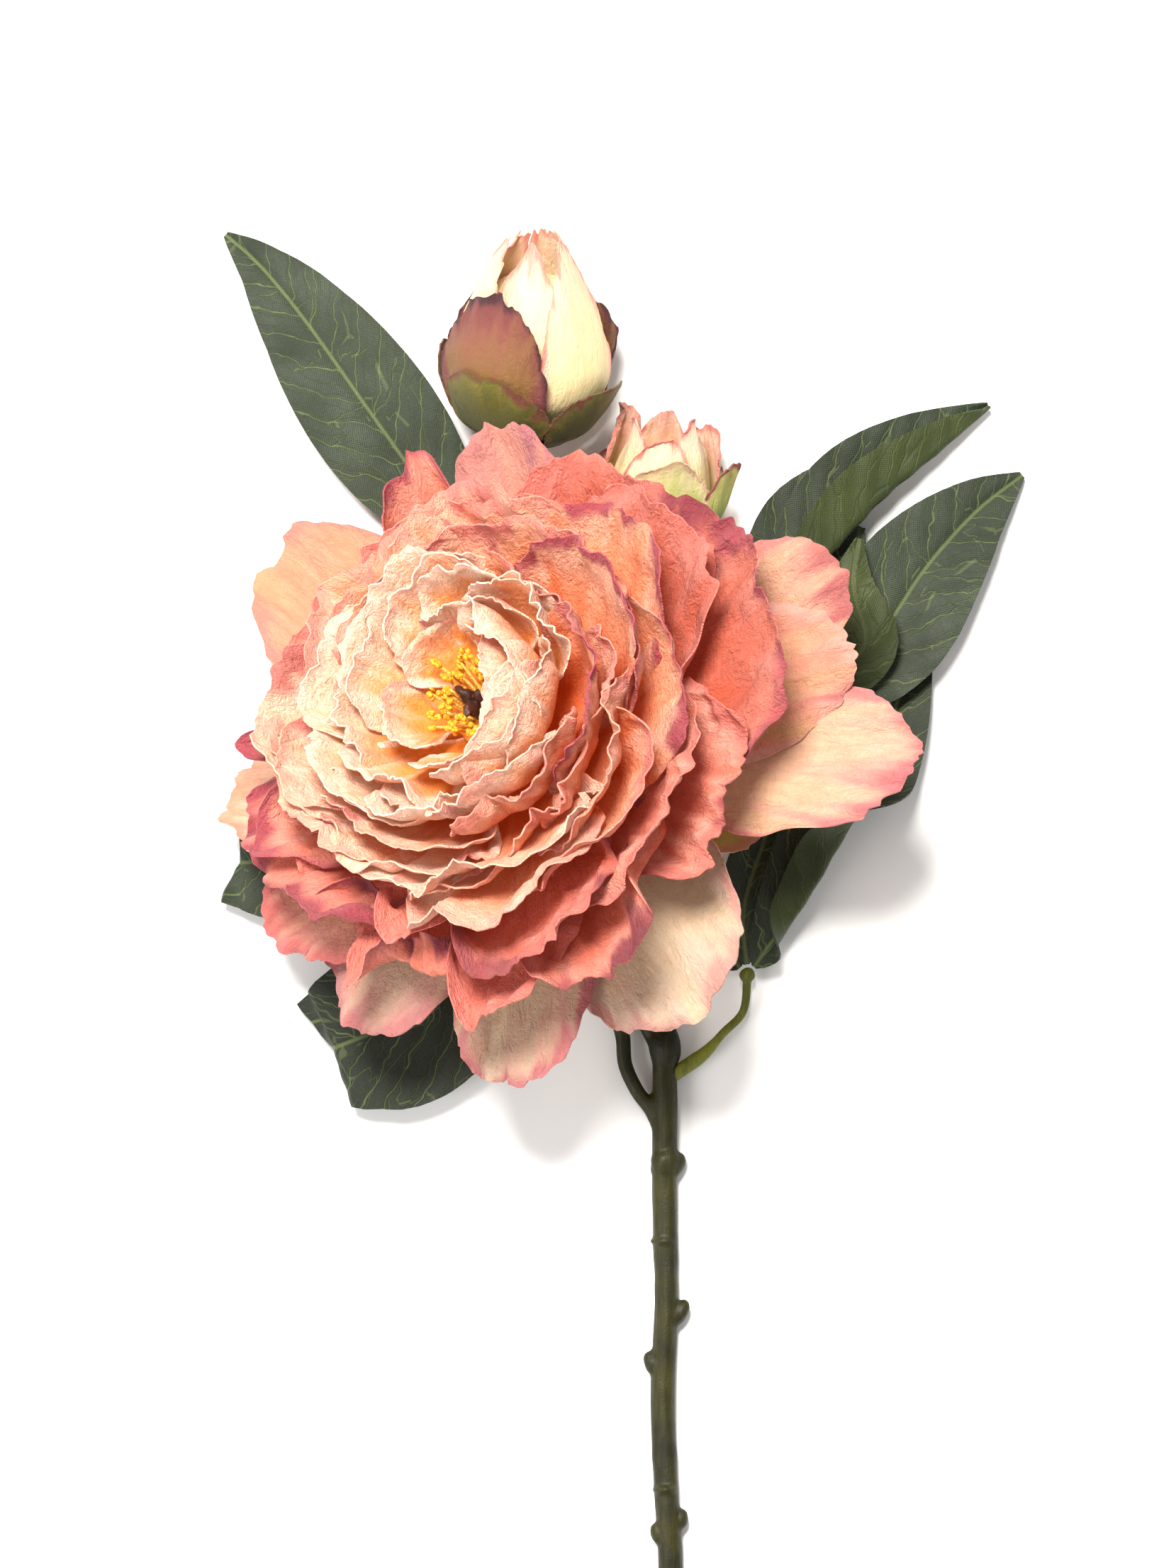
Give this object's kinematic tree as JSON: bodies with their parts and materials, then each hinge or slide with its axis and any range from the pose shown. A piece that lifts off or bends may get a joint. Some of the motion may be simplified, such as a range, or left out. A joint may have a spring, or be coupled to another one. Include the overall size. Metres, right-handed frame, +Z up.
{
  "type": "artificial peony stem",
  "caption": "Cut stem of artificial peony lying on its back: a large double bloom, a closed bud, a half-open bud and cloth leaves on a coated wire stem.",
  "frame": {"origin": "middle of the object's box, on the surface that it lies on", "axes": "+Y along the stem from its cut end to the top bud, +Z up from the surface, +X to the right when seen from above with the top bud furthest away"},
  "size_m": [0.192, 0.3983, 0.1027],
  "materials": {
    "stem_coating": "moulded coating, dull satin, green-brown",
    "leaf_stalk_plastic": "moulded, satin, yellow-green",
    "leaf_cloth": "printed cloth, sage above with pale veins, olive beneath",
    "guard_petal_cloth": "heat-curled cloth, cream with pink rims",
    "coral_petal_cloth": "heat-curled cloth, coral with burgundy rims",
    "peach_petal_cloth": "crinkled cloth, peach to coral",
    "cream_petal_cloth": "crinkled cloth, cream to peach",
    "sepal_cloth": "cloth, olive to yellow-green",
    "inner_sepal_cloth": "cloth, mauve-brown",
    "bud_petal_cloth": "cloth, cream shaded with pink",
    "stamen_fibre": "flocked fibre, golden orange",
    "carpel_plastic": "moulded, dark brown"
  },
  "bodies": {
    "root": {"stem": "stem_coating", "lower_right_leaf_stalk": "leaf_stalk_plastic", "upper_right_leaf_stalk": "leaf_stalk_plastic", "left_leaf_stalk": "leaf_stalk_plastic", "upper_left_leaf_stalk": "leaf_stalk_plastic", "leaf_upper_left": "leaf_cloth", "leaf_upper_right": "leaf_cloth", "leaf_upper_right_back": "leaf_cloth", "leaf_right": "leaf_cloth", "leaf_right_turned": "leaf_cloth", "leaf_right_inner": "leaf_cloth", "leaf_lower_right": "leaf_cloth", "leaf_lower_right_back": "leaf_cloth", "leaf_lower_inner": "leaf_cloth", "leaf_left": "leaf_cloth", "leaf_lower_left": "leaf_cloth", "bloom_sepals": "sepal_cloth", "guard_petals": "guard_petal_cloth", "coral_petals": "coral_petal_cloth", "peach_petals": "peach_petal_cloth", "cream_petals": "cream_petal_cloth", "stamens": "stamen_fibre", "carpels": "carpel_plastic", "top_bud_petals": "bud_petal_cloth", "top_bud_inner_sepals": "inner_sepal_cloth", "top_bud_sepals": "sepal_cloth", "side_bud_petals": "bud_petal_cloth", "side_bud_sepals": "sepal_cloth"}
  },
  "joints": []
}
